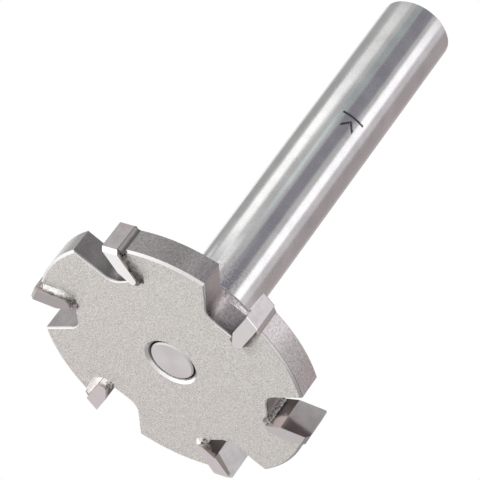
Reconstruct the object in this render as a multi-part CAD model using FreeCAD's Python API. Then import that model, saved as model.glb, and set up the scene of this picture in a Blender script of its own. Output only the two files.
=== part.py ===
"""Slotting router bit: a plain shank seated in a six-tooth cutter with brazed carbide tips.

The origin is on the tool's axis, in the plane of the tips' front faces. +Z runs along the
axis to the free end of the shank, and +X passes through the cutting edge of tip 1.
All sizes are in millimetres. Plan points of a tooth are measured from its own cutting edge:
"inward" runs along the rake face towards the axis, and "back" runs square to that face,
into the tip, anticlockwise seen from the shank.
"""
import FreeCAD, Part
import math
import os

V = FreeCAD.Vector
UP = V(0, 0, 1)

# Shank
shank_dia = 12.7
overall_length = 84.2
shank_end_chamfer = 0.35
spigot_dia = 8.0
spigot_chamfer = 0.3
spigot_recess = 0.3          # how far the spigot's end lies inside the front face
seat_clearance = 0.02        # radial gap of the spigot in the body

# Cutter body
tooth_count = 6
body_thickness = 4.8
rim_chamfer = 0.4
bore_chamfer = 0.8
hub_dia = 22.0
hub_height = 5.9
hub_edge_round = 0.6
hub_root_round = 0.8

# Gullet in front of each tip
heel_angle = 18.7            # from the cutting edge forward to the heel of the tooth ahead
heel_wall_lean = 17.9        # the heel wall's angle to the radius through the heel
gullet_depth = 8.33          # from the cutting circle in to the gullet floor
floor_angle = 4.5            # forward of the cutting edge where that depth is measured
floor_slope = 4.3            # the floor's angle to the tangent there, rising towards the tip
floor_overlap = 0.15         # how far the floor runs on past the tip's bevel
gullet_round = 3.0           # corner between the heel wall and the floor
gullet_chamfer = 0.18        # on the gullet's front edges
overcut = 2.0                # how far a cutter runs past what it cuts

# Carbide tips
cutting_dia = 51.6
tip_rim_proud = 1.1          # past the rim of the body
tip_front_proud = 1.1        # past the body's front face
tip_rear_proud = 0.35        # past the body's rear face
tip_thickness = 2.55
tip_length = 7.9             # along the rake face
hook_angle = 9.0
relief_angle = 13.5
ground_length = 5.1          # ground part of the rake face
bevel_depth = 1.1            # what the blank's bevel takes off its inner end
tip_back_round = 1.0
tip_bevel_round = 0.6
front_corner_chamfer = 0.6
rear_corner_chamfer = 0.25

# Braze
fillet_reach = 1.3           # width of the fillet behind the tip, on the body's front face
fillet_outer_reach = 1.05    # the same at the rim
fillet_inner_reach = 0.8     # the same at the tip's inner end
fillet_height = 0.6
fillet_crest = 0.08          # width left at the fillet's top
waist_height = 0.3           # share of the fillet's height at which its hollow is set
waist_reach = 0.42           # share of its reach that is left there
bevel_cover = 0.4            # how far back from the bevel's corner the fillet starts
rim_fillet_reach = 1.0       # length of the fillet on the rim, behind the tip
rim_fillet_depth = 3.0       # where that fillet ends on the tip's back
bead_radius = 0.85

# Radii, levels along the axis and sizes that follow
shank_radius = shank_dia / 2
spigot_radius = spigot_dia / 2
hub_radius = hub_dia / 2
cutting_radius = cutting_dia / 2
body_radius = cutting_radius - tip_rim_proud
floor_radius = cutting_radius - gullet_depth
z_front = tip_front_proud
z_rear = z_front + body_thickness
z_hub = z_rear + hub_height
z_fillet = z_front - fillet_height
tip_width = z_rear + tip_rear_proud
pitch = 360.0 / tooth_count
land_drop = tip_thickness * math.tan(math.radians(hook_angle + relief_angle))
match = 1e-4                 # how near an edge lies to the place it is looked for


def polar(radius, degrees, z=0.0):
    """Point at a radius and an angle about the tool's axis."""
    turn = math.radians(degrees)
    return V(radius * math.cos(turn), radius * math.sin(turn), z)


def tip_point(inward, back, z=0.0):
    """Point measured from the cutting edge: inwards along the rake face, then back from it."""
    hook = math.radians(hook_angle)
    x = cutting_radius - inward * math.cos(hook) + back * math.sin(hook)
    y = inward * math.sin(hook) + back * math.cos(hook)
    return V(x, y, z)


def raise_face(points, z, height):
    """Prism on a closed polygon of plan points."""
    corners = [V(p.x, p.y, z) for p in points]
    return Part.Face(Part.makePolygon(corners + corners[:1])).extrude(V(0, 0, height))


def revolve(profile):
    """Solid of revolution about the tool's axis from (radius, z) pairs."""
    corners = [V(r, 0, z) for r, z in profile]
    wire = Part.makePolygon(corners + corners[:1])
    return Part.Face(wire).revolve(V(0, 0, 0), UP, 360)


def at_tooth(shape, number):
    """Copy of a tooth's shape, turned to its place round the axis."""
    copy = shape.copy()
    copy.rotate(V(0, 0, 0), UP, pitch * number)
    return copy


def make_shank():
    """Plain ground shank whose shoulder stands on the hub, with a spigot through the body."""
    z_spigot = z_front + spigot_recess
    return revolve([
        (0, z_spigot),
        (spigot_radius - spigot_chamfer, z_spigot),
        (spigot_radius, z_spigot + spigot_chamfer),
        (spigot_radius, z_hub),
        (shank_radius, z_hub),
        (shank_radius, overall_length - shank_end_chamfer),
        (shank_radius - shank_end_chamfer, overall_length),
        (0, overall_length),
    ])


def circle_edges(shape, radius, z):
    """Full circular edges of a given radius and height."""
    found = []
    for edge in shape.Edges:
        curve = edge.Curve
        if isinstance(curve, Part.Circle) and abs(curve.Radius - radius) < match:
            if abs(curve.Center.z - z) < match:
                found.append(edge)
    return found


def body_blank():
    """Turned disc and hub with a chamfered bore for the spigot."""
    bore = spigot_radius + seat_clearance
    blank = revolve([
        (bore + bore_chamfer, z_front),
        (body_radius - rim_chamfer, z_front),
        (body_radius, z_front + rim_chamfer),
        (body_radius, z_rear),
        (hub_radius, z_rear),
        (hub_radius, z_hub),
        (bore, z_hub),
        (bore, z_front + bore_chamfer),
    ])
    blank = blank.makeFillet(hub_root_round, circle_edges(blank, hub_radius, z_rear))
    return blank.makeFillet(hub_edge_round, circle_edges(blank, hub_radius, z_hub))


def gullet_points():
    """Heel, sharp corner of the heel wall and the floor, and end of the floor at the tip."""
    heel = polar(body_radius, -heel_angle)
    wall = polar(1, 180 - heel_angle - heel_wall_lean)
    floor = polar(floor_radius, -floor_angle)
    slope = polar(1, 90 - floor_angle - floor_slope)
    normal = V(-slope.y, slope.x, 0)
    corner = heel + wall * ((floor - heel).dot(normal) / wall.dot(normal))
    run = (tip_point(tip_length, bevel_depth) - floor).dot(slope) + floor_overlap
    return heel, corner, floor + slope * run


def gullet_walls():
    """The milled walls in plan: straight heel wall, round corner, straight floor."""
    heel, corner, end = gullet_points()
    wall = (heel - corner).normalize()
    slope = (end - corner).normalize()
    half = wall.getAngle(slope) / 2
    leg = gullet_round / math.tan(half)
    reach = gullet_round / math.sin(half) - gullet_round
    start = corner + wall * leg
    middle = corner + (wall + slope).normalize() * reach
    finish = corner + slope * leg
    return [
        Part.makeLine(heel + wall * (tip_rim_proud + overcut), start),
        Part.Arc(start, middle, finish).toShape(),
        Part.makeLine(finish, end),
    ]


def gullet_cutter():
    """Prism that mills one gullet, closed through the middle of the tip."""
    walls = gullet_walls()
    outside = walls[0].Vertexes[0].Point
    end = walls[-1].Vertexes[-1].Point
    inner = tip_point(tip_length - tip_back_round, tip_thickness / 2)
    outer = tip_point(-overcut, tip_thickness / 2)
    path = walls + [
        Part.makeLine(end, inner),
        Part.makeLine(inner, outer),
        Part.makeLine(outer, outside),
    ]
    face = Part.Face(Part.Wire(path))
    face.translate(V(0, 0, z_front - overcut))
    return face.extrude(V(0, 0, body_thickness + 2 * overcut))


def gullet_front_edges(body):
    """Front edges of the milled walls of every gullet."""
    found = []
    for number in range(tooth_count):
        for wall in gullet_walls():
            line = at_tooth(wall, number)
            line.translate(V(0, 0, z_front))
            for edge in body.Edges:
                ends = [Part.Vertex(v.Point) for v in edge.Vertexes]
                level = all(abs(v.Z - z_front) < match for v in ends)
                if level and all(line.distToShape(v)[0] < match for v in ends):
                    found.append(edge)
    return found


def tip_outline():
    """Plan of a tip: ground rake, bevel, inner end, back and relieved land."""
    return [
        tip_point(0, 0),
        tip_point(ground_length, 0),
        tip_point(tip_length, bevel_depth),
        tip_point(tip_length, tip_thickness),
        tip_point(land_drop, tip_thickness),
    ]


def upright_edges(shape, point):
    """Edges parallel to the axis that stand on a plan point."""
    found = []
    for edge in shape.Edges:
        ends = [v.Point for v in edge.Vertexes]
        if all(math.hypot(p.x - point.x, p.y - point.y) < match for p in ends):
            found.append(edge)
    return found


def tip_prism():
    """Tip before its outer corners are ground, also the shape of its seat."""
    block = raise_face(tip_outline(), 0, tip_width)
    back_corner = upright_edges(block, tip_point(tip_length, tip_thickness))
    block = block.makeFillet(tip_back_round, back_corner)
    bevel_corner = upright_edges(block, tip_point(tip_length, bevel_depth))
    return block.makeFillet(tip_bevel_round, bevel_corner)


def corner_wedge(z, size, way):
    """Wedge along the land that takes off one outer corner of a tip."""
    relief = math.radians(relief_angle)
    land = V(-math.sin(relief), math.cos(relief), 0)
    out = V(math.cos(relief), math.sin(relief), 0)
    edge = V(cutting_radius, 0, z) - land
    corners = [
        edge - out * (size + overcut) - UP * way * overcut,
        edge + out * overcut + UP * way * (size + overcut),
        edge + out * overcut - UP * way * overcut,
    ]
    wedge = Part.Face(Part.makePolygon(corners + corners[:1]))
    return wedge.extrude(land * (2 * tip_thickness))


def make_tip():
    """Carbide tip with its outer corners chamfered, less at the rear."""
    tip = tip_prism()
    tip = tip.cut(corner_wedge(0, front_corner_chamfer, 1))
    return tip.cut(corner_wedge(tip_width, rear_corner_chamfer, -1))


def make_body():
    """Blank with its gullets milled and chamfered and its tip seats ground."""
    body = body_blank()
    for number in range(tooth_count):
        body = body.cut(at_tooth(gullet_cutter(), number))
    body = body.makeChamfer(gullet_chamfer, gullet_front_edges(body))
    for number in range(tooth_count):
        body = body.cut(at_tooth(tip_prism(), number))
    return body


def fillet_outline(back, outer, inner, z):
    """Plan of the front fillet round a tip's back and inner end, at one level."""
    start = tip_thickness
    bevel = bevel_depth + bevel_cover
    corners = [
        tip_point(start, tip_thickness / 2, z),
        tip_point(start, tip_thickness + outer, z),
        tip_point(tip_length - fillet_reach, tip_thickness + back, z),
        tip_point(tip_length + inner, tip_thickness, z),
        tip_point(tip_length + inner, bevel, z),
        tip_point(tip_length - bevel_depth, bevel, z),
    ]
    return Part.makePolygon(corners + corners[:1])


def front_fillet():
    """Hollow fillet of braze drawn up a tip's proud part from the body's front face."""
    sections = []
    for height, share in ((0, 1), (waist_height, waist_reach), (1, 0)):
        reaches = [
            fillet_crest + share * (reach - fillet_crest)
            for reach in (fillet_reach, fillet_outer_reach, fillet_inner_reach)
        ]
        sections.append(fillet_outline(*reaches, z_front - height * fillet_height))
    return Part.makeLoft(sections, True, False)


def rim_fillet():
    """Braze between a tip's back and the rim, over the body's thickness."""
    corner = tip_point(land_drop + fillet_crest, tip_thickness)
    turn = math.degrees(math.atan2(corner.y, corner.x) + rim_fillet_reach / body_radius)
    points = [corner, tip_point(rim_fillet_depth, tip_thickness), polar(body_radius, turn)]
    top = z_front - fillet_height / 2
    return raise_face(points, top, z_rear - top)


def floor_bead():
    """Bead of braze in the corner between the gullet floor and a tip's inner end."""
    end = gullet_points()[2]
    foot = (end + tip_point(tip_length, bevel_depth)) * 0.5
    top = z_front - fillet_height / 2
    return Part.makeCylinder(bead_radius, z_rear - top, V(foot.x, foot.y, top))


def make_braze(body):
    """Visible braze of the first tip, clear of the tip and of the body."""
    braze = front_fillet().fuse([rim_fillet(), floor_bead()])
    return braze.cut([tip_prism(), body]).removeSplitter()


def main():
    os.makedirs("parts", exist_ok=True)
    body = make_body()
    tip = make_tip()
    braze = make_braze(body)
    shapes = {"shank": make_shank(), "cutter_body": body}
    for number in range(tooth_count):
        shapes["carbide_tip_%d" % (number + 1)] = at_tooth(tip, number)
        shapes["braze_%d" % (number + 1)] = at_tooth(braze, number)
    for name, shape in shapes.items():
        shape.exportStep("parts/%s.step" % name)
        box = shape.BoundBox
        print(name, shape.isValid(), len(shape.Solids), "%.1f mm3" % shape.Volume,
              "z %.2f to %.2f" % (box.ZMin, box.ZMax))


main()
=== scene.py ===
import math

import bmesh
import bpy
from mathutils import Matrix, Vector


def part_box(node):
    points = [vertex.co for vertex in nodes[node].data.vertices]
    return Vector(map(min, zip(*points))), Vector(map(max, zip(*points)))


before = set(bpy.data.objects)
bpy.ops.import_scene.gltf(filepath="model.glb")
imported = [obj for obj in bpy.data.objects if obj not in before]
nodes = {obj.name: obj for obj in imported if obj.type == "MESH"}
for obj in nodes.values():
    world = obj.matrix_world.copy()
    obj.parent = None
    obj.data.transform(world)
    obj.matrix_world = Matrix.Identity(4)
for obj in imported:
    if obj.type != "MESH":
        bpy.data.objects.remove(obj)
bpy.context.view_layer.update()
mm = 0.001
print("frame loaded:", len(nodes), "nodes")

# sizes that the materials share, read from the frame where it gives them
bodyLow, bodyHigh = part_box("cutter_body")
shankLow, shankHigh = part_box("shank")
discRadius = bodyHigh.y
discFront = bodyLow.z
discRear = discFront + 4.8 * mm
hubTop = bodyHigh.z
shankRadius = shankHigh.x
spigotRadius = 4.0 * mm
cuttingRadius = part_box("carbide_tip_1")[1].x
tooth = {
    "count": 6,
    "pitch": 60,
    "hook": 9.0,
    "relief": 13.5,
    "thickness": 2.55 * mm,
    "length": 7.9 * mm,
    "ground": 5.1 * mm,
    "corner": 0.6 * mm,
}


# camera at the photograph's viewing angle, below the disc and turned on its axis
camera = {
    "place": (143.16, -432.76, -268.38),
    "right": (0.86495, -0.05033, 0.49934),
    "up": (-0.42421, -0.60499, 0.67382),
    "forward": (-0.26818, 0.79465, 0.54463),
    "lens": 249.6,
    "sensor": 36.0,
    "near": 0.01,
    "far": 20.0,
}


def placeCamera():
    data = bpy.data.cameras.new("camera")
    data.lens = camera["lens"]
    data.sensor_width = camera["sensor"]
    data.clip_start = camera["near"]
    data.clip_end = camera["far"]
    eye = bpy.data.objects.new("camera", data)
    bpy.context.scene.collection.objects.link(eye)
    back = -Vector(camera["forward"])
    turn = Matrix((camera["right"], camera["up"], back)).transposed()
    eye.matrix_world = Matrix.Translation(Vector(camera["place"]) * mm) @ turn.to_4x4()
    bpy.context.scene.camera = eye


placeCamera()
print("camera placed")


# small helpers for node trees
def addNode(tree, kind, inputs=None, **settings):
    made = tree.nodes.new("ShaderNode" + kind)
    for name, value in settings.items():
        setattr(made, name, value)
    for name, value in (inputs or {}).items():
        if isinstance(value, bpy.types.NodeSocket):
            tree.links.new(value, made.inputs[name])
        else:
            made.inputs[name].default_value = value
    return made


def calc(tree, operation, first, second=0.0):
    return addNode(tree, "Math", {0: first, 1: second}, operation=operation).outputs[0]


def times(tree, *factors):
    product = factors[0]
    for factor in factors[1:]:
        product = calc(tree, "MULTIPLY", product, factor)
    return product


def centred(tree, pattern, spread):
    # a pattern between 0 and 1, moved to lie round 0 and scaled
    return times(tree, calc(tree, "SUBTRACT", pattern, 0.5), spread)


def ramp(tree, factor, *stops):
    made = addNode(tree, "ValToRGB", {"Fac": factor})
    points = made.color_ramp.elements
    while len(points) < len(stops):
        points.new(0.5)
    for point, (place, colour) in zip(points, stops):
        point.position = place
        point.color = (*colour, 1)
    return made.outputs["Color"]


def blendColours(tree, factor, first, second):
    made = addNode(tree, "Mix", data_type="RGBA")
    for place, value in ((0, factor), (6, first), (7, second)):
        if isinstance(value, bpy.types.NodeSocket):
            tree.links.new(value, made.inputs[place])
        else:
            made.inputs[place].default_value = (*value, 1) if isinstance(value, tuple) else value
    return made.outputs[2]


def blendValues(tree, factor, first, second):
    made = addNode(tree, "Mix", {0: factor, 2: first, 3: second}, data_type="FLOAT")
    return made.outputs[0]


def step(tree, value, low, high):
    # 0 at low, rising smoothly to 1 at high
    inputs = {"Value": value, 1: low, 2: high}
    return addNode(tree, "MapRange", inputs, interpolation_type="SMOOTHSTEP").outputs[0]


def band(tree, value, low, high, soft):
    # 1 between low and high, falling to 0 over the soft width
    rise = step(tree, value, low - soft, low)
    fall = step(tree, value, high, high + soft)
    return calc(tree, "SUBTRACT", rise, fall)


def sideBand(tree, turn, side, soft):
    # 1 on one side of the axis, between two angles in degrees, with a soft edge in radians
    low, high = [math.radians(edge) for edge in side]
    return band(tree, turn, low, high, soft)


def newMaterial(name):
    material = bpy.data.materials.new(name)
    material.use_nodes = True
    tree = material.node_tree
    shader = tree.nodes["Principled BSDF"]
    return material, tree, shader


def axisCoordinates(tree):
    # object coordinates, the distance from the axis, the height along it and the angle round it
    place = addNode(tree, "TexCoord").outputs["Object"]
    parts = addNode(tree, "SeparateXYZ", {0: place})
    flat = addNode(tree, "CombineXYZ", {0: parts.outputs[0], 1: parts.outputs[1]})
    radius = addNode(tree, "VectorMath", {0: flat.outputs[0]}, operation="LENGTH").outputs["Value"]
    turn = calc(tree, "ARCTAN2", parts.outputs[1], parts.outputs[0])
    return place, radius, parts.outputs[2], turn


def noise(tree, place, grain, detail=2.0, roughness=0.5, stretch=None):
    # grain is the size of one fleck in metres
    if stretch:
        place = addNode(tree, "Mapping", {"Vector": place, "Scale": stretch}).outputs[0]
    settings = {"Vector": place, "Scale": 1.0 / grain, "Detail": detail, "Roughness": roughness}
    return addNode(tree, "TexNoise", settings).outputs["Fac"]


def rakeCoordinates(tree, x, y):
    # distances from the cutting edge of tip 1: inwards along its rake face, and back from that face
    hook = math.radians(tooth["hook"])
    sine, cosine = math.sin(hook), math.cos(hook)
    out = calc(tree, "SUBTRACT", x, cuttingRadius)
    inward = calc(tree, "SUBTRACT", times(tree, y, sine), times(tree, out, cosine))
    back = calc(tree, "ADD", times(tree, out, sine), times(tree, y, cosine))
    return inward, back


def toothCoordinates(tree, place, number):
    # the same for another tip, turned back to the place of tip 1
    turn = -math.radians(tooth["pitch"] * (number - 1))
    turned = addNode(tree, "Mapping", {"Vector": place, "Rotation": (0, 0, turn)}).outputs[0]
    parts = addNode(tree, "SeparateXYZ", {0: turned})
    return rakeCoordinates(tree, parts.outputs[0], parts.outputs[1])


def bump(tree, shader, height, strength, depth, normal=None):
    made = addNode(tree, "Bump", {"Height": height, "Strength": strength, "Distance": depth})
    if normal:
        tree.links.new(normal, made.inputs["Normal"])
    tree.links.new(made.outputs[0], shader.inputs["Normal"])


def unevenRoughness(tree, pattern, middle):
    return calc(tree, "ADD", centred(tree, pattern, 0.08), middle)


def faceSlope(tree):
    # the height part of the flat normal: -1 on faces that look down, 0 on walls, 1 on faces that look up
    normal = addNode(tree, "NewGeometry").outputs["True Normal"]
    return addNode(tree, "SeparateXYZ", {0: normal}).outputs[2]


def turnedNormal(tree, turn):
    # the exact normal of a turned piece: straight out from the axis, tilted as its face is
    slope = faceSlope(tree)
    flat = calc(tree, "SQRT", calc(tree, "SUBTRACT", 1.0, times(tree, slope, slope)))
    x = times(tree, flat, calc(tree, "COSINE", turn))
    y = times(tree, flat, calc(tree, "SINE", turn))
    outward = addNode(tree, "CombineXYZ", {0: x, 1: y, 2: slope}).outputs[0]
    settings = {"vector_type": "NORMAL", "convert_from": "OBJECT", "convert_to": "WORLD"}
    return addNode(tree, "VectorTransform", {0: outward}, **settings).outputs[0]


black = (0.0, 0.0, 0.0)

# cutter body: bead blasted faces, turned rim and hub, and milled gullets
bodyFinish = {
    "skin": 0.02 * mm,
    "facingUp": 0.95,
    # blasted front and rear faces
    "frontDark": (0.35, 0.338, 0.317),
    "frontLight": (0.92, 0.91, 0.878),
    "blastGrain": 0.165 * mm,
    "blastBump": (0.3, 0.02 * mm),
    "blastRoughness": 0.52,
    # painted glints: bright flecks in the colour of the blasted faces
    "paintedGlint": (0.96, 0.955, 0.92),
    "paintedGlintGrain": 0.11 * mm,
    "paintedGlintFrom": (0.64, 0.72),
    # gullets: angles in radians, painted shade by the number of the tip
    "millGrain": 0.30 * mm,
    "cloudGrain": 4 * mm,
    "gulletDark": (0.355, 0.327, 0.325),
    "gulletLight": (0.53, 0.49, 0.485),
    "gulletRoughness": 0.38,
    "gulletCentre": -0.25,
    "gulletHalf": 0.4,
    "paintedShadeTone": (0.02, 0.06, 0.045),
    "paintedWallShade": {1: 0.30},
    "wallFoot": 21.5 * mm,
    "paintedFootShade": {5: 0.45},
    "paintedGulletShade": {4: 0.22, 5: 0.27},
    "floorReach": 18.3 * mm,
    "floorSoft": 0.5 * mm,
    "floorDark": (0.17, 0.15, 0.145),
    "floorPale": (0.93, 0.88, 0.86),
    "floorLight": (0.66, 0.61, 0.605),
    "floorUneven": 2.0 * mm,
    "floorFade": (0.8 * mm, 3.6 * mm),
    # hub
    "hubReach": 12.5 * mm,
    "hubDark": (0.36, 0.33, 0.33),
    "hubLight": (0.92, 0.86, 0.86),
    "hubRound": 0.62 * mm,
    "rootRound": 0.806 * mm,
    "paintedRoundShade": 0.55,
    # rim, with painted shade behind tip 5
    "rimSkin": 0.03 * mm,
    "rimDark": (0.36, 0.34, 0.34),
    "rimLight": (0.66, 0.62, 0.62),
    "rimRoughness": 0.28,
    "shadedRimSide": (-120, -93),
    "shadedRimSoft": 0.14,
    "paintedRimShade": 0.26,
    # chamfers of the rim, the gullets and the bore
    "chamfer": (0.72, 0.715, 0.70),
    "boreChamfer": (0.90, 0.89, 0.88),
    "chamferDepth": 0.43 * mm,
    "chamferRoughness": 0.24,
    # painted reflection lines on one side of the rim's chamfer
    "paintedEdgeLine": (0.22, 0.21, 0.20),
    "paintedEdgeStrength": 0.7,
    "paintedEdgeSide": (-52, 32),
    "paintedEdgeSoft": 0.1,
    "innerEdge": (0.50 * mm, 0.37 * mm),
    "outerEdge": 0.33 * mm,
    "joint": (0.06, 0.055, 0.05),
    "jointWidth": 0.19 * mm,
    # flux stains behind the tips
    "burnt": (0.16, 0.15, 0.14),
    "burntGrain": 0.16 * mm,
    "burntTurn": 0.17,
    "burntAlong": (3.0 * mm, tooth["length"] + 0.4 * mm, 1.0 * mm),
    "burntBehind": (1.2 * mm, tooth["thickness"] + 1.2 * mm, 1.6 * mm),
    "roughnessSpread": 0.2,
}


# painted shade: blends the colour towards a dark tone in the gullets of the numbered tips
def paintShadeInGullets(tree, colour, gulletPlace, shades, where=1.0):
    for number, shade in shades.items():
        there = calc(tree, "ABSOLUTE", calc(tree, "SUBTRACT", gulletPlace, number - 1))
        there = times(tree, calc(tree, "LESS_THAN", there, 0.5), where, shade)
        colour = blendColours(tree, there, colour, bodyFinish["paintedShadeTone"])
    return colour


def gulletColour(tree, radius, height, turn, mottle, cloud):
    look = bodyFinish
    milled = blendValues(tree, 0.5, mottle, cloud)
    walls = ramp(tree, milled, (0.36, look["gulletDark"]), (0.64, look["gulletLight"]))
    # the floors are darkest at the front, and that of the first gullet is pale
    lit = ramp(tree, mottle, (0.30, look["hubDark"]), (0.70, look["floorLight"]))
    unevenHeight = calc(tree, "ADD", height, centred(tree, mottle, look["floorUneven"]))
    floors = blendColours(tree, step(tree, unevenHeight, *look["floorFade"]), look["floorDark"], lit)
    fromCentre = calc(tree, "SUBTRACT", turn, look["gulletCentre"])
    inFirst = calc(tree, "LESS_THAN", calc(tree, "ABSOLUTE", fromCentre), look["gulletHalf"])
    floors = blendColours(tree, inFirst, floors, look["floorPale"])
    # painted shade darkens some of the gullets, and low on the wall of one of them
    gulletPlace = calc(tree, "ROUND", calc(tree, "DIVIDE", fromCentre, math.radians(tooth["pitch"])))
    gulletPlace = calc(tree, "FLOORED_MODULO", gulletPlace, tooth["count"])
    walls = paintShadeInGullets(tree, walls, gulletPlace, look["paintedWallShade"])
    wallFoot = step(tree, radius, look["wallFoot"], look["floorReach"])
    walls = paintShadeInGullets(tree, walls, gulletPlace, look["paintedFootShade"], wallFoot)
    reach, soft = look["floorReach"], look["floorSoft"]
    onFloor = step(tree, radius, reach + soft, reach - soft)
    colour = blendColours(tree, onFloor, walls, floors)
    return paintShadeInGullets(tree, colour, gulletPlace, look["paintedGulletShade"])


def rimColour(tree, turn, mottle):
    look = bodyFinish
    rim = ramp(tree, mottle, (0.30, look["rimDark"]), (0.70, look["rimLight"]))
    # painted shade on the rim behind tip 5
    paintedRimDarkening = times(tree, sideBand(tree, turn, look["shadedRimSide"], look["shadedRimSoft"]), look["paintedRimShade"])
    return blendColours(tree, paintedRimDarkening, rim, black)


def hubColour(tree, height, facing, mottle):
    look = bodyFinish
    hub = ramp(tree, mottle, (0.34, look["hubDark"]), (0.66, look["hubLight"]))
    # painted shade along its round edges
    onTop = calc(tree, "GREATER_THAN", height, hubTop - look["hubRound"])
    onRoot = calc(tree, "LESS_THAN", height, discRear + look["rootRound"])
    notFlat = calc(tree, "LESS_THAN", facing, look["facingUp"])
    onRound = times(tree, calc(tree, "MAXIMUM", onTop, onRoot), notFlat)
    return blendColours(tree, times(tree, onRound, look["paintedRoundShade"]), hub, black)


def chamferColour(tree, radius, height, turn, onHub):
    look = bodyFinish
    chamfer = blendColours(tree, onHub, look["chamfer"], look["boreChamfer"])
    # painted reflection: on one side the rim's chamfer has fine dark edges
    low, high = [discRadius - depth for depth in look["innerEdge"]]
    inner = band(tree, radius, low, high, look["skin"])
    outer = calc(tree, "GREATER_THAN", height, discFront + look["outerEdge"])
    side = sideBand(tree, turn, look["paintedEdgeSide"], look["paintedEdgeSoft"])
    paintedLines = times(tree, calc(tree, "MAXIMUM", inner, outer), side)
    paintedLines = times(tree, paintedLines, calc(tree, "GREATER_THAN", radius, look["hubReach"]))
    return blendColours(tree, times(tree, paintedLines, look["paintedEdgeStrength"]), chamfer, look["paintedEdgeLine"])


def fluxStain(tree, place, radius, turn, cloud):
    # close behind each tip
    look = bodyFinish
    pitch = math.radians(tooth["pitch"])
    sector = calc(tree, "SUBTRACT", turn, look["burntTurn"])
    sector = calc(tree, "ROUND", calc(tree, "DIVIDE", sector, pitch))
    local = calc(tree, "SUBTRACT", turn, times(tree, sector, pitch))
    x = times(tree, radius, calc(tree, "COSINE", local))
    y = times(tree, radius, calc(tree, "SINE", local))
    inward, back = rakeCoordinates(tree, x, y)
    alongTip = band(tree, inward, *look["burntAlong"])
    behindTip = band(tree, back, *look["burntBehind"])
    grains = noise(tree, place, look["burntGrain"], 2.0, 0.7)
    return times(tree, alongTip, behindTip, step(tree, cloud, 0.42, 0.60), step(tree, grains, 0.50, 0.62))


def makeBodySteel():
    look = bodyFinish
    material, tree, shader = newMaterial("bodySteel")
    place, radius, height, turn = axisCoordinates(tree)
    facing = faceSlope(tree)
    speckle = noise(tree, place, look["blastGrain"], 2.0, 0.6)
    glints = noise(tree, place, look["paintedGlintGrain"], 0.0)
    cloud = noise(tree, place, look["cloudGrain"], 2.0)
    mottle = noise(tree, place, look["millGrain"], 3.0, 0.6)
    onFront = calc(tree, "LESS_THAN", height, discFront + look["skin"])
    lowDown = calc(tree, "LESS_THAN", height, discRear + look["skin"])
    onRear = times(tree, calc(tree, "GREATER_THAN", facing, look["facingUp"]), lowDown)
    nearFront = calc(tree, "LESS_THAN", height, discFront + look["chamferDepth"])
    onChamfer = calc(tree, "GREATER_THAN", nearFront, onFront)
    onRim = calc(tree, "GREATER_THAN", radius, discRadius - look["rimSkin"])
    onHub = calc(tree, "LESS_THAN", radius, look["hubReach"])
    onJoint = calc(tree, "LESS_THAN", radius, spigotRadius + look["jointWidth"])
    colour = gulletColour(tree, radius, height, turn, mottle, cloud)
    colour = blendColours(tree, onRim, colour, rimColour(tree, turn, mottle))
    colour = blendColours(tree, onHub, colour, hubColour(tree, height, facing, mottle))
    colour = blendColours(tree, onChamfer, colour, chamferColour(tree, radius, height, turn, onHub))
    colour = blendColours(tree, onJoint, colour, look["joint"])
    blasted = ramp(tree, speckle, (0.28, look["frontDark"]), (0.72, look["frontLight"]))
    # painted glints on the blasted faces
    blasted = blendColours(tree, step(tree, glints, *look["paintedGlintFrom"]), blasted, look["paintedGlint"])
    stain = fluxStain(tree, place, radius, turn, cloud)
    colour = blendColours(tree, onRear, colour, blasted)
    colour = blendColours(tree, onFront, colour, blendColours(tree, stain, blasted, look["burnt"]))
    tree.links.new(colour, shader.inputs["Base Color"])
    onBlasted = calc(tree, "MAXIMUM", onFront, onRear)
    rough = blendValues(tree, onRim, look["gulletRoughness"], look["rimRoughness"])
    rough = blendValues(tree, onChamfer, rough, look["chamferRoughness"])
    rough = blendValues(tree, onBlasted, rough, look["blastRoughness"])
    rough = calc(tree, "ADD", rough, centred(tree, speckle, look["roughnessSpread"]))
    tree.links.new(rough, shader.inputs["Roughness"])
    shader.inputs["Metallic"].default_value = 1.0
    bump(tree, shader, speckle, *look["blastBump"])
    return material


# shank: ground and polished round the axis
shankFinish = {
    "dark": (0.63, 0.622, 0.622),
    "light": (0.80, 0.795, 0.79),
    "cloudGrain": 5 * mm,
    "wearGrain": 0.3 * mm,
    "lineGrain": 0.10 * mm,
    "lineLength": 4 * mm,
    "lineBump": (0.10, 0.004 * mm),
    "roughness": 0.13,
    "grindSpread": 0.5,
    # stained and scuffed foot
    "stain": (0.45, 0.40, 0.43),
    "stainStrength": 0.75,
    "stainRoughness": 0.04,
    "scuffGrain": 0.35 * mm,
    "scuffedSide": (-108, -62),
    "scuffedSoft": 0.25,
    "scuffedTo": 14 * mm,
    "scuffedFade": 10 * mm,
    # the spigot's end
    "spigot": (0.665, 0.655, 0.65),
    "spigotRoughness": 0.45,
    "ringWidth": 0.12 * mm,
    "ringStrength": 0.25,
    "joint": (0.06, 0.055, 0.05),
    "jointWidth": 0.06 * mm,
    # the printed depth mark
    "ink": (0.075, 0.075, 0.085),
    "inkRoughness": 0.5,
    "markTurn": -67.5,
    "markHeight": 56.4 * mm,
    "markHalf": 2.15 * mm,
    "markStroke": 0.20 * mm,
    "markSoft": 0.05 * mm,
    "arrowGap": 1.10 * mm,
    "arrowHalf": 1.25 * mm,
    "arrowSlope": 1.2,
    "arrowStroke": 0.30 * mm,
    "arrowSoft": 0.07 * mm,
}


def spigotColour(tree, radius):
    # faintly turned, with a dark joint line round it
    look = shankFinish
    flat = addNode(tree, "CombineXYZ", {0: calc(tree, "DIVIDE", radius, look["ringWidth"])})
    rings = step(tree, noise(tree, flat.outputs[0], 1.0, 2.0), 0.45, 0.75)
    spigot = blendColours(tree, times(tree, rings, look["ringStrength"]), look["spigot"], look["dark"])
    jointed = calc(tree, "GREATER_THAN", radius, spigotRadius - look["jointWidth"])
    return blendColours(tree, jointed, spigot, look["joint"])


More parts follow.
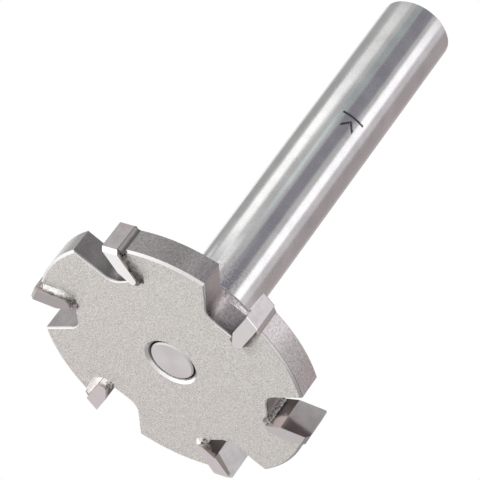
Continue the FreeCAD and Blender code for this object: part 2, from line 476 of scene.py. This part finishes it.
def depthMark(tree, height, turn, wear):
    # a line round the shank with an arrowhead under it, a little worn
    look = shankFinish
    stroke, arrowStroke = look["markStroke"], look["arrowStroke"]
    fromMark = calc(tree, "SUBTRACT", turn, math.radians(look["markTurn"]))
    across = calc(tree, "ABSOLUTE", times(tree, fromMark, shankRadius))
    along = calc(tree, "SUBTRACT", height, look["markHeight"])
    line = band(tree, along, -stroke, stroke, look["markSoft"])
    line = times(tree, line, calc(tree, "LESS_THAN", across, look["markHalf"]))
    slope = calc(tree, "ADD", along, times(tree, across, look["arrowSlope"]))
    slope = calc(tree, "ADD", slope, look["arrowGap"])
    head = band(tree, slope, -arrowStroke, arrowStroke, look["arrowSoft"])
    head = times(tree, head, calc(tree, "LESS_THAN", across, look["arrowHalf"]))
    return times(tree, calc(tree, "MAXIMUM", line, head), step(tree, wear, 0.30, 0.42))


def makeShankSteel():
    look = shankFinish
    material, tree, shader = newMaterial("shankSteel")
    place, radius, height, turn = axisCoordinates(tree)
    stretch = (1, 1, look["lineLength"] / look["lineGrain"])
    grind = noise(tree, place, look["lineLength"], 3.0, 0.6, stretch)
    wear = noise(tree, place, look["wearGrain"], 3.0, 0.65)
    cloud = noise(tree, place, look["cloudGrain"], 3.0, 0.55)
    scuff = noise(tree, place, look["scuffGrain"], 3.0, 0.7)
    worn = blendValues(tree, 0.5, cloud, wear)
    colour = ramp(tree, worn, (0.36, look["dark"]), (0.64, look["light"]))
    scuffed = band(tree, height, 0.0, look["scuffedTo"], look["scuffedFade"])
    scuffed = times(tree, scuffed, sideBand(tree, turn, look["scuffedSide"], look["scuffedSoft"]))
    spots = times(tree, band(tree, scuff, 0.55, 1.0, 0.07), scuffed)
    colour = blendColours(tree, times(tree, spots, look["stainStrength"]), colour, look["stain"])
    onSpigot = calc(tree, "LESS_THAN", height, hubTop)
    colour = blendColours(tree, onSpigot, colour, spigotColour(tree, radius))
    printed = depthMark(tree, height, turn, wear)
    colour = blendColours(tree, printed, colour, look["ink"])
    tree.links.new(colour, shader.inputs["Base Color"])
    rough = unevenRoughness(tree, cloud, look["roughness"])
    rough = calc(tree, "ADD", rough, times(tree, spots, look["stainRoughness"]))
    rough = blendValues(tree, onSpigot, rough, look["spigotRoughness"])
    rough = blendValues(tree, printed, rough, look["inkRoughness"])
    tree.links.new(rough, shader.inputs["Roughness"])
    shader.inputs["Metallic"].default_value = 1.0
    shader.inputs["Anisotropic"].default_value = look["grindSpread"]
    aroundAxis = addNode(tree, "Tangent", direction_type="RADIAL", axis="Z")
    tree.links.new(aroundAxis.outputs[0], shader.inputs["Tangent"])
    bump(tree, shader, grind, *look["lineBump"], turnedNormal(tree, turn))
    return material


# carbide: ground rake, land and end faces, and a dark bevel and back left as they were pressed
carbideFinish = {
    "skin": 0.02 * mm,
    # ground faces, with painted light and shade by the number of the tip
    "shades": (0.93, 1.07),
    "paintedGroundTone": {1: 0.415, 2: 0.61, 3: 0.55, 4: 0.50, 5: 0.68, 6: 0.44},
    "paintedGroundTint": {1: 0.92, 2: 0.96, 3: 0.96, 4: 0.96, 5: 0.92, 6: 0.945},
    "cloudGrain": 1.6 * mm,
    "grindGrain": 0.10 * mm,
    "grindStretch": (1, 1, 0.12),
    "grindBump": (0.05, 0.003 * mm),
    "roughness": 0.12,
    "paintedFrontTone": {1: 0.57, 2: 0.65, 3: 0.66, 4: 0.43, 5: 0.97, 6: 0.72},
    "paintedFrontTint": {1: 0.985, 2: 0.985, 3: 0.985, 4: 0.985, 5: 1.03, 6: 0.985},
    # pressed faces, with braze flowed over their front
    "pressed": (0.12, 0.108, 0.098),
    "pressedRoughness": 0.34,
    "flowed": (0.56, 0.50, 0.48),
    "flowedTo": {1: 2.6, 2: 0.9, 3: 0.9, 4: 0.9, 5: 0.6, 6: 0.6},
    "flowedSpread": 3.0 * mm,
    "flowedEdge": (-0.3 * mm, 0.5 * mm),
    # painted shade: a dark band on the rake faces of some tips
    "paintedRakeShade": (0.24, 0.205, 0.19),
    "paintedRakeShadeStrength": 0.85,
    "rakeShadeFrom": 0.4 * mm,
    "rakeShadeSlope": {1: 0.0, 2: 0.12, 3: 0.10, 4: 0.0, 5: 0.0, 6: 0.0},
    "rakeShadeFoot": {1: -1.0, 2: 0.78, 3: 0.0, 4: -1.0, 5: -1.0, 6: -1.0},
    "rakeShadeTop": (-0.02 * mm, 0.08 * mm),
    "rakeShadeEnd": (0.5 * mm, 1.1 * mm),
    # painted highlight along the fine edge round the front
    "paintedEdgeHighlight": (0.90, 0.88, 0.88),
    "paintedHighlightWidth": 0.13 * mm,
    "paintedHighlightTone": {1: 0.6, 2: 0.8, 3: 0.5, 4: 0.2, 5: 0.2, 6: 0.9},
}


def makeCarbide(number):
    look = carbideFinish
    material, tree, shader = newMaterial("carbide%d" % number)
    place, _, height, _ = axisCoordinates(tree)
    inward, back = toothCoordinates(tree, place, number)
    grind = noise(tree, place, look["grindGrain"], 3.0, 0.6, look["grindStretch"])
    cloud = noise(tree, place, look["cloudGrain"], 3.0, 0.6)
    slope = faceSlope(tree)
    forward = calc(tree, "LESS_THAN", slope, -0.5)
    side = calc(tree, "LESS_THAN", calc(tree, "ABSOLUTE", slope), 0.5)
    bevel = calc(tree, "GREATER_THAN", inward, tooth["ground"] + look["skin"])
    rear = calc(tree, "GREATER_THAN", back, tooth["thickness"] - look["skin"])
    pressed = times(tree, calc(tree, "MAXIMUM", bevel, rear), side)
    tint = look["paintedGroundTint"][number]
    shades = [look["paintedGroundTone"][number] * shade for shade in look["shades"]]
    dark, light = [(shade, shade * tint, shade * (tint + 0.01)) for shade in shades]
    colour = ramp(tree, cloud, (0.34, dark), (0.62, light))
    # the painted shade lies along the rake's front edge and narrows towards the cutting edge
    rakeShadeTop = calc(tree, "SUBTRACT", inward, look["rakeShadeFrom"])
    rakeShadeTop = times(tree, rakeShadeTop, look["rakeShadeSlope"][number])
    rakeShadeTop = calc(tree, "ADD", rakeShadeTop, look["rakeShadeFoot"][number] * mm)
    paintedRakeShade = step(tree, calc(tree, "SUBTRACT", rakeShadeTop, height), *look["rakeShadeTop"])
    paintedRakeShade = times(tree, paintedRakeShade, step(tree, inward, *look["rakeShadeEnd"]), look["paintedRakeShadeStrength"])
    colour = blendColours(tree, paintedRakeShade, colour, look["paintedRakeShade"])
    # painted light and shade: each tip's front face has its own tone for how it catches the light
    front = look["paintedFrontTone"][number]
    paler = front * look["paintedFrontTint"][number]
    colour = blendColours(tree, forward, colour, (front, paler, paler))
    belowFlow = calc(tree, "ADD", height, centred(tree, cloud, look["flowedSpread"]))
    belowFlow = calc(tree, "SUBTRACT", look["flowedTo"][number] * mm, belowFlow)
    flow = step(tree, belowFlow, *look["flowedEdge"])
    pressedColour = blendColours(tree, flow, look["pressed"], look["flowed"])
    colour = blendColours(tree, pressed, colour, pressedColour)
    # painted highlight: the ground faces end in a fine bright edge round the front, which rises along the
    # corner's chamfer
    wedge = math.radians(tooth["hook"] + tooth["relief"])
    fromLand = times(tree, inward, math.cos(wedge))
    fromLand = calc(tree, "SUBTRACT", fromLand, times(tree, back, math.sin(wedge)))
    rise = calc(tree, "MAXIMUM", calc(tree, "SUBTRACT", tooth["corner"], fromLand), 0.0)
    paintedEdgeHighlight = calc(tree, "LESS_THAN", calc(tree, "SUBTRACT", height, rise), look["paintedHighlightWidth"])
    paintedEdgeHighlight = times(tree, paintedEdgeHighlight, side, calc(tree, "SUBTRACT", 1.0, pressed))
    paintedEdgeHighlight = times(tree, paintedEdgeHighlight, look["paintedHighlightTone"][number])
    colour = blendColours(tree, paintedEdgeHighlight, colour, look["paintedEdgeHighlight"])
    tree.links.new(colour, shader.inputs["Base Color"])
    rough = unevenRoughness(tree, grind, look["roughness"])
    unground = calc(tree, "MAXIMUM", pressed, forward)
    rough = blendValues(tree, unground, rough, look["pressedRoughness"])
    tree.links.new(rough, shader.inputs["Roughness"])
    shader.inputs["Metallic"].default_value = 1.0
    bump(tree, shader, grind, *look["grindBump"])
    return material


# braze: bright where it flowed, partly a painted highlight, with burnt flux against the back of some tips
# and specks in the beads
brazeFinish = {
    "burnt": (0.12, 0.105, 0.095),
    "speck": (0.20, 0.185, 0.175),
    "bright": (0.95, 0.94, 0.92),
    "grain": 0.6 * mm,
    "knobs": 0.35 * mm,
    "knobBump": (0.4, 0.05 * mm),
    "fineGrain": 0.15 * mm,
    "roughness": 0.34,
    # fillet on the front face
    "besideDisc": (0.60, 0.58, 0.55),
    "paintedFilletHighlight": {1: 0.6, 2: 1.0, 3: 1.0, 4: 1.0, 5: 0.15, 6: 0.0},
    "burntReach": {1: 0.5, 2: 0.1, 3: 0.1, 4: 0.5, 5: 1.8, 6: 1.0},
    "burntSpread": 1.2,
    "burntEdge": (-0.1, 1.1),
    "speckStrength": 0.35,
    "innerEnd": (4.8 * mm, 7.2 * mm),
    "innerStain": {1: 0.3, 2: 0.1, 3: 0.05, 4: 0.95, 5: 0.5, 6: 0.4},
    # fillet on the rim
    "rim": (0.50, 0.47, 0.46),
    "rimDepth": 0.25 * mm,
    "rimLine": {1: 0.62, 2: 0.62, 3: 0.62, 4: 0.62, 5: 0.42, 6: 0.62},
    "rimLineSoft": 0.1 * mm,
    "rimLineSpread": 0.6 * mm,
    "rimStain": {1: 0.2, 2: 0.2, 3: 0.2, 4: 0.5, 5: 1.0, 6: 0.2},
    # bead at the gullet floor
    "beadFrom": -0.05 * mm,
    "beadTone": {1: 0.47, 2: 0.56, 3: 0.52, 4: 0.44, 5: 0.42, 6: 0.42},
    "beadSoft": 0.05,
    "paintedBeadHighlightShift": {1: 0.0, 2: 0.12, 3: 0.13, 4: 0.0, 5: 0.0, 6: 0.0},
    "paintedBeadHighlight": {1: 0.60, 2: 0.95, 3: 0.95, 4: 0.90, 5: 0.80, 6: 0.80},
}


def frontFillet(tree, number, inward, fromTip, blotch, knobs, grains):
    # burnt beside the tip and brighter beyond, where a painted highlight makes the fillets of some tips
    # bright, with specks and a stained inner end
    look = brazeFinish
    # painted highlight: the fillet's tone between the disc's and bright differs by tip
    flowed = blendColours(tree, look["paintedFilletHighlight"][number], look["besideDisc"], look["bright"])
    specks = times(tree, step(tree, knobs, 0.52, 0.62), look["speckStrength"])
    flowed = blendColours(tree, specks, flowed, look["speck"])
    innerEnd = times(tree, step(tree, inward, *look["innerEnd"]), step(tree, grains, 0.36, 0.60))
    innerEnd = times(tree, innerEnd, look["innerStain"][number])
    flowed = blendColours(tree, innerEnd, flowed, look["burnt"])
    uneven = calc(tree, "SUBTRACT", calc(tree, "ADD", blotch, grains), 1.0)
    uneven = times(tree, uneven, look["burntSpread"])
    clean = calc(tree, "DIVIDE", fromTip, look["burntReach"][number] * mm)
    clean = step(tree, calc(tree, "ADD", clean, uneven), *look["burntEdge"])
    return blendColours(tree, clean, look["burnt"], flowed)


def rimFillet(tree, number, fromTip, grains):
    # stained beyond an uneven line
    look = brazeFinish
    line, soft = look["rimLine"][number] * mm, look["rimLineSoft"]
    edge = calc(tree, "ADD", fromTip, centred(tree, grains, look["rimLineSpread"]))
    stained = times(tree, step(tree, edge, line - soft, line + soft), look["rimStain"][number])
    return blendColours(tree, stained, look["rim"], look["speck"])


def beadColour(tree, number, back, knobs, grains):
    # specked, with painted highlight and painted shade by tip: the bright part's tone and the share of
    # dark specks differ by tip, and on some tips it is brighter towards the tip's back
    look = brazeFinish
    tone, soft = look["beadTone"][number], look["beadSoft"]
    middle = tooth["thickness"] / 2
    shift = calc(tree, "SUBTRACT", back, middle)
    shift = times(tree, shift, look["paintedBeadHighlightShift"][number] / middle)
    specks = calc(tree, "SUBTRACT", blendValues(tree, 0.5, knobs, grains), shift)
    specks = step(tree, specks, tone - soft, tone + soft)
    bright = look["paintedBeadHighlight"][number]
    return blendColours(tree, specks, (bright, bright * 0.97, bright * 0.95), look["speck"])


def makeBrazeMetal(number):
    look = brazeFinish
    material, tree, shader = newMaterial("brazeMetal%d" % number)
    place, radius, _, _ = axisCoordinates(tree)
    inward, back = toothCoordinates(tree, place, number)
    fromTip = calc(tree, "SUBTRACT", back, tooth["thickness"])
    blotch = noise(tree, place, look["grain"], 3.0, 0.6)
    knobs = noise(tree, place, look["knobs"], 2.0, 0.5)
    grains = noise(tree, place, look["fineGrain"], 2.0, 0.7)
    front = frontFillet(tree, number, inward, fromTip, blotch, knobs, grains)
    rim = rimFillet(tree, number, fromTip, grains)
    bead = beadColour(tree, number, back, knobs, grains)
    onRim = calc(tree, "GREATER_THAN", radius, discRadius - look["rimDepth"])
    behind = calc(tree, "GREATER_THAN", fromTip, look["beadFrom"])
    fillet = blendColours(tree, onRim, front, rim)
    tree.links.new(blendColours(tree, behind, bead, fillet), shader.inputs["Base Color"])
    shader.inputs["Roughness"].default_value = look["roughness"]
    shader.inputs["Metallic"].default_value = 1.0
    bump(tree, shader, knobs, *look["knobBump"])
    return material


def makeFinish(name):
    if name == "cutter_body":
        return makeBodySteel()
    if name == "shank":
        return makeShankSteel()
    number = int(name[-1])
    return makeBrazeMetal(number) if name.startswith("braze") else makeCarbide(number)


for name, thing in nodes.items():
    thing.data.materials.clear()
    thing.data.materials.append(makeFinish(name))
print("materials given to", len(nodes), "nodes")


# studio: pale floor, white background and a ring of cards for the metal to reflect
floor = {"size": 3.0, "drop": 0.02 * mm, "colour": (0.86, 0.86, 0.855), "roughness": 0.9}


def makeFloor():
    bm = bmesh.new()
    bmesh.ops.create_grid(bm, x_segments=1, y_segments=1, size=floor["size"] / 2)
    bmesh.ops.translate(bm, verts=bm.verts, vec=(0, 0, -floor["drop"]))
    mesh = bpy.data.meshes.new("floor")
    bm.to_mesh(mesh)
    bm.free()
    made = bpy.data.objects.new("floor", mesh)
    bpy.context.scene.collection.objects.link(made)
    material, tree, shader = newMaterial("paleFloor")
    shader.inputs["Base Color"].default_value = (*floor["colour"], 1)
    shader.inputs["Roughness"].default_value = floor["roughness"]
    # only a camera above the floor sees it, so the photograph's camera looks up through it
    seen = addNode(tree, "LightPath").outputs["Is Camera Ray"]
    under = addNode(tree, "NewGeometry").outputs["Backfacing"]
    shown = calc(tree, "SUBTRACT", seen, under)
    mixed = addNode(tree, "MixShader", {0: shown, 1: addNode(tree, "BsdfTransparent").outputs[0]})
    tree.links.new(shader.outputs[0], mixed.inputs[2])
    tree.links.new(mixed.outputs[0], tree.nodes["Material Output"].inputs["Surface"])
    made.data.materials.append(material)


makeFloor()

# the light that the world gives, and the white that the camera and reflections see
worldStrength = {"light": 0.75, "seen": 1.0}


def makeWorld():
    world = bpy.data.worlds.new("studio")
    bpy.context.scene.world = world
    world.use_nodes = True
    tree = world.node_tree
    tree.nodes.clear()
    path = addNode(tree, "LightPath")
    seen = calc(tree, "MAXIMUM", path.outputs["Is Camera Ray"], path.outputs["Is Glossy Ray"])
    seen = calc(tree, "MAXIMUM", seen, path.outputs["Is Transmission Ray"])
    light, shown = [
        addNode(tree, "Background", {"Color": (1, 1, 1, 1), "Strength": worldStrength[use]})
        for use in ("light", "seen")
    ]
    mixed = addNode(tree, "MixShader", {0: seen, 1: light.outputs[0], 2: shown.outputs[0]})
    out = addNode(tree, "OutputWorld")
    tree.links.new(mixed.outputs[0], out.inputs["Surface"])


makeWorld()

# each card is an arc of a ring round the tool: its middle and half width in degrees and its soft edge,
# its lowest and highest edge in ring radii and how far they fade out, its colour and its strength
ringRadius = 0.25
ringGap = 0.01  # each card stands this part of the radius inside the one before
ringSteps = 64  # faces of a whole ring
fewestSteps = 8
white = (1.0, 1.0, 1.0)
teal = (0.90, 1.0, 1.02)
violet = (0.95, 0.92, 1.04)
warm = (1.07, 0.96, 0.965)
rose = (1.02, 0.965, 1.005)
pale = (1.0, 0.985, 1.01)
cards = {
    "ringGrey": (-70, 180, 0, 0.05, 3.0, 0, white, 0.57),
    "greyLeft": (-202, 17, 15, 0.05, 3.0, 0.06, white, 0.46),
    "stripTop": (-147, 12, 13, 0.90, 1.05, 0.06, white, 0.95),
    "stripLeft": (-152, 9, 13, 0.727, 0.92, 0.06, white, 1.36),
    "tealLine": (-107, 3, 4, 0.78, 0.88, 0.06, teal, 0.84),
    "darkFlag": (-75, 13, 8, 0.05, 3.0, 0.06, violet, 0.31),
    "greyRight": (43, 26, 16, 0.05, 3.0, 0.06, warm, 0.42),
    "boxTail": (-4, 8, 10, 0.05, 3.0, 0.06, rose, 0.68),
    "softBox": (-26.5, 9, 7, 0.35, 1.00, 0.06, pale, 1.42),
    "paleBack": (92, 14, 8, 0.20, 3.0, 0.06, warm, 0.53),
    "paleEdge": (103, 8, 6, 0.70, 3.0, 0.04, warm, 0.22),
    "whiteBack": (130, 8, 8, 0.05, 3.0, 0.06, white, 0.88),
    "whiteBackLow": (130, 8, 8, 0.05, 0.72, 0.06, white, 1.09),
    "footLeft": (178, 5, 5, 0.05, 0.60, 0.05, white, 1.12),
    "footStrip": (-127, 8, 10, 0.59, 0.63, 0.02, white, 1.12),
    "footBox": (-2, 8, 8, 0.30, 0.58, 0.02, white, 0.81),
    "footRight": (38, 24, 12, 0.05, 0.575, 0.02, warm, 0.66),
    "lowBright": (190, 20, 42, -3.0, 0.24, 0.24, white, 1.38),
    "lowGrey": (44, 20, 38, -0.85, 0.04, 0.12, white, 0.38),
    "lowPale": (-5, 18, 40, -3.0, -0.90, 0.12, white, 0.72),
    "lowBack": (112, 8, 34, -0.62, 0.04, 0.12, warm, 0.78),
    "topLeft": (-103, 7, 6, 0.79, 3.0, 0.04, teal, 0.45),
    "topRight": (-58, 3, 5, 0.77, 3.0, 0.04, violet, 0.31),
    "footDark": (-86, 4, 6, 0.52, 0.56, 0.03, violet, 0.44),
}


def placeGlossyCard(name, bm, colour, strength):
    # a glowing sheet that only reflections show
    mesh = bpy.data.meshes.new(name)
    bm.to_mesh(mesh)
    bm.free()
    made = bpy.data.objects.new(name, mesh)
    bpy.context.scene.collection.objects.link(made)
    material, tree, shader = newMaterial(name)
    tree.nodes.remove(shader)
    surface = addNode(tree, "Emission", {"Color": (*colour, 1), "Strength": strength}).outputs[0]
    tree.links.new(surface, tree.nodes["Material Output"].inputs["Surface"])
    made.data.materials.append(material)
    made.visible_camera = False
    made.visible_diffuse = False
    made.visible_shadow = False
    made.visible_transmission = False
    return surface, tree


def makeCard(name, card, layer):
    middle, inner, soft = [math.radians(turn) for turn in card[:3]]
    low, high, fade, colour, strength = card[3:]
    reach = inner + soft
    radius = ringRadius * (1 - ringGap * layer)
    whole = reach >= math.pi
    reach = min(reach, math.pi)
    steps = max(fewestSteps, round(ringSteps * reach / math.pi))
    bm = bmesh.new()
    feet = [bm.verts.new((radius, 0, z * ringRadius)) for z in (low - fade, high + fade)]
    edge = bm.edges.new(feet)
    bmesh.ops.rotate(bm, verts=feet, matrix=Matrix.Rotation(middle - reach, 3, "Z"))
    bmesh.ops.spin(bm, geom=feet + [edge], cent=(0, 0, 0), axis=(0, 0, 1),
                   angle=2 * reach, steps=steps, use_merge=whole)
    surface, tree = placeGlossyCard(name, bm, colour, strength)
    if soft:
        place = addNode(tree, "TexCoord").outputs["Object"]
        place = addNode(tree, "Mapping", {"Vector": place, "Rotation": (0, 0, -middle)}).outputs[0]
        parts = addNode(tree, "SeparateXYZ", {0: place})
        turn = calc(tree, "ARCTAN2", parts.outputs[1], parts.outputs[0])
        shown = band(tree, turn, -inner, inner, soft)
        ends = band(tree, parts.outputs[2], low * ringRadius, high * ringRadius, fade * ringRadius)
        shown = calc(tree, "MULTIPLY", shown, ends)
        clear = addNode(tree, "BsdfTransparent")
        mixed = addNode(tree, "MixShader", {0: shown, 1: clear.outputs[0], 2: surface})
        tree.links.new(mixed.outputs[0], tree.nodes["Material Output"].inputs["Surface"])


for layer, (name, card) in enumerate(cards.items()):
    makeCard(name, card, layer)


# a round card that closes the ring far below, its drop in ring radii
underCard = {"drop": 3.0, "segments": 48, "strength": 0.85}


def makeUnderCard():
    bm = bmesh.new()
    bmesh.ops.create_circle(bm, cap_ends=True, segments=underCard["segments"], radius=ringRadius)
    bmesh.ops.translate(bm, verts=bm.verts, vec=(0, 0, -underCard["drop"] * ringRadius))
    placeGlossyCard("underCard", bm, white, underCard["strength"])


makeUnderCard()

lamps = {
    "overhead": {"place": (0.25, -0.35, 1.1), "size": 0.9, "power": 3.0},
}


def makeLamp(name, lamp):
    data = bpy.data.lights.new(name, "AREA")
    data.shape = "DISK"
    data.size = lamp["size"]
    data.energy = lamp["power"]
    made = bpy.data.objects.new(name, data)
    bpy.context.scene.collection.objects.link(made)
    made.location = lamp["place"]
    made.rotation_euler = Vector(lamp["place"]).to_track_quat("Z", "Y").to_euler()


for name, lamp in lamps.items():
    makeLamp(name, lamp)
bpy.context.scene.view_settings.view_transform = "Standard"
print("studio built")
